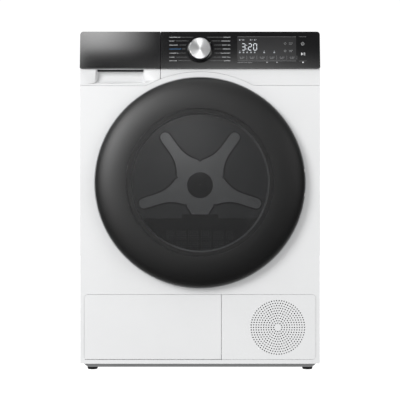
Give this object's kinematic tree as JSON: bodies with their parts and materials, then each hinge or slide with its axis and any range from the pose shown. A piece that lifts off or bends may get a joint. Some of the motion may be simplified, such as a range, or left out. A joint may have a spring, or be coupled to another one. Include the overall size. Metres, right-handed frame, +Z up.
{
  "type": "clothes dryer",
  "caption": "Front-loading heat-pump tumble dryer with a round dark door, a tilted control panel, a water drawer, a lint filter and a service flap.",
  "frame": {"origin": "on the floor, under the middle of the overall box", "axes": "+X to the right of someone facing the machine, +Y towards its back, +Z up"},
  "size_m": [0.595, 0.655, 0.845],
  "materials": {
    "white_enamel": "gloss",
    "black_gloss": "gloss",
    "smoked_glass": "gloss",
    "light_plastic": "satin",
    "clear_plastic": "gloss",
    "grey_plastic": "matte",
    "dark_plastic": "matte",
    "painted_black_steel": "matte",
    "brushed_metal": "brushed",
    "zinc_steel": "satin",
    "aluminium": "satin",
    "bronze": "satin",
    "rubber": "matte",
    "felt": "matte",
    "circuit_board": "satin"
  },
  "bodies": {
    "cabinet": {"top_panel": "white_enamel", "side_panel_left": "white_enamel", "side_panel_right": "white_enamel", "front_panel": "white_enamel", "fascia_strip": "white_enamel", "vent_panel": "white_enamel", "control_fascia": "black_gloss", "door_mouth": "light_plastic", "filter_housing": "light_plastic", "tank_tray": "light_plastic", "base_tray": "grey_plastic", "blower_housing": "grey_plastic", "exchanger_cover": "grey_plastic", "door_catch": "dark_plastic", "condensate_pump": "dark_plastic", "motor_body": "painted_black_steel", "compressor": "painted_black_steel", "hinge_bracket": "brushed_metal", "hinge_pin": "brushed_metal", "rear_panel": "zinc_steel", "rear_duct_cover": "zinc_steel", "front_bulkhead": "zinc_steel", "rear_bulkhead": "zinc_steel", "evaporator_coil": "aluminium", "condenser_coil": "aluminium", "rear_bearing": "bronze", "drive_belt": "rubber", "condensate_hose": "rubber", "mains_inlet": "rubber", "drum_felt_seal": "felt", "control_board": "circuit_board"},
    "door": {"door_ring": "black_gloss", "door_glass": "smoked_glass", "door_inner_frame": "light_plastic", "door_bowl": "clear_plastic", "door_hook": "brushed_metal", "door_hinge_leaf": "brushed_metal"},
    "drum": {"drum_shell": "brushed_metal", "drum_rear_wall": "brushed_metal", "drum_lifter_1": "brushed_metal", "drum_lifter_2": "brushed_metal", "drum_lifter_3": "brushed_metal"},
    "motor_rotor": {"motor_shaft": "brushed_metal", "blower_wheel": "grey_plastic"},
    "tension_arm": {"idler_arm": "zinc_steel"},
    "tension_pulley": {"idler_pulley": "grey_plastic"},
    "roller_left": {"drum_roller_left": "rubber"},
    "roller_right": {"drum_roller_right": "rubber"},
    "knob": {"knob_cap": "brushed_metal", "knob_skirt": "black_gloss"},
    "tank_drawer": {"tank_panel": "black_gloss", "tank_front": "white_enamel", "water_tank": "clear_plastic"},
    "filter": {"lint_filter": "dark_plastic"},
    "flap": {"service_flap": "white_enamel"},
    "lever": {"cover_lever": "dark_plastic"},
    "foot_fl": {"foot_front_left": "dark_plastic"},
    "foot_fr": {"foot_front_right": "dark_plastic"},
    "foot_rl": {"foot_rear_left": "dark_plastic"},
    "foot_rr": {"foot_rear_right": "dark_plastic"}
  },
  "joints": [
    {"name": "door_hinge", "type": "hinge", "parent": "cabinet", "child": "door", "pos_m": [0.2475, -0.2985, 0.469], "axis": [0, 0, 1], "range_deg": [0, 115]},
    {"name": "drum_spin", "type": "hinge", "parent": "cabinet", "child": "drum", "pos_m": [0, -0.2205, 0.469], "axis": [0, 1, 0], "continuous": true},
    {"name": "motor_spin", "type": "hinge", "parent": "cabinet", "child": "motor_rotor", "pos_m": [0.19, -0.032, 0.135], "axis": [0, 1, 0], "continuous": true},
    {"name": "tension_arm_pivot", "type": "hinge", "parent": "cabinet", "child": "tension_arm", "pos_m": [0.162, 0.1185, 0.101], "axis": [0, -1, 0], "range_deg": [0, 10], "stiffness_Nm_per_rad": 2, "springref_deg": -11.46},
    {"name": "tension_pulley_spin", "type": "hinge", "parent": "tension_arm", "child": "tension_pulley", "pos_m": [0.10954, 0.104, 0.12559], "axis": [0, 1, 0], "continuous": true},
    {"name": "roller_left_spin", "type": "hinge", "parent": "cabinet", "child": "roller_left", "pos_m": [-0.17511, -0.204, 0.21891], "axis": [0, 1, 0], "continuous": true},
    {"name": "roller_right_spin", "type": "hinge", "parent": "cabinet", "child": "roller_right", "pos_m": [0.17511, -0.204, 0.21891], "axis": [0, 1, 0], "continuous": true},
    {"name": "knob_turn", "type": "hinge", "parent": "cabinet", "child": "knob", "pos_m": [0, -0.28353, 0.798], "axis": [0, -0.9903, 0.1392], "continuous": true},
    {"name": "tank_slide", "type": "slide", "parent": "cabinet", "child": "tank_drawer", "axis": [0, -1, 0], "range_m": [0, 0.4]},
    {"name": "filter_slide", "type": "slide", "parent": "cabinet", "child": "filter", "axis": [0, 0, 1], "range_m": [0, 0.205]},
    {"name": "flap_hinge", "type": "hinge", "parent": "cabinet", "child": "flap", "pos_m": [0, -0.2785, 0.0346], "axis": [1, 0, 0], "range_deg": [0, 90]},
    {"name": "lever_turn", "type": "hinge", "parent": "cabinet", "child": "lever", "pos_m": [-0.115, -0.262, 0.162], "axis": [0, 1, 0], "range_deg": [0, 90]},
    {"name": "foot_front_left_level", "type": "slide", "parent": "cabinet", "child": "foot_fl", "axis": [0, 0, 1], "range_m": [-0.015, 0]},
    {"name": "foot_front_right_level", "type": "slide", "parent": "cabinet", "child": "foot_fr", "axis": [0, 0, 1], "range_m": [-0.015, 0]},
    {"name": "foot_rear_left_level", "type": "slide", "parent": "cabinet", "child": "foot_rl", "axis": [0, 0, 1], "range_m": [-0.015, 0]},
    {"name": "foot_rear_right_level", "type": "slide", "parent": "cabinet", "child": "foot_rr", "axis": [0, 0, 1], "range_m": [-0.015, 0]}
  ],
  "couplings": [
    {"joint": "motor_spin", "follows": "drum_spin", "ratio": 26.09},
    {"joint": "tension_pulley_spin", "follows": "drum_spin", "ratio": -14.45},
    {"joint": "roller_left_spin", "follows": "drum_spin", "ratio": -11.2},
    {"joint": "roller_right_spin", "follows": "drum_spin", "ratio": -11.2}
  ]
}
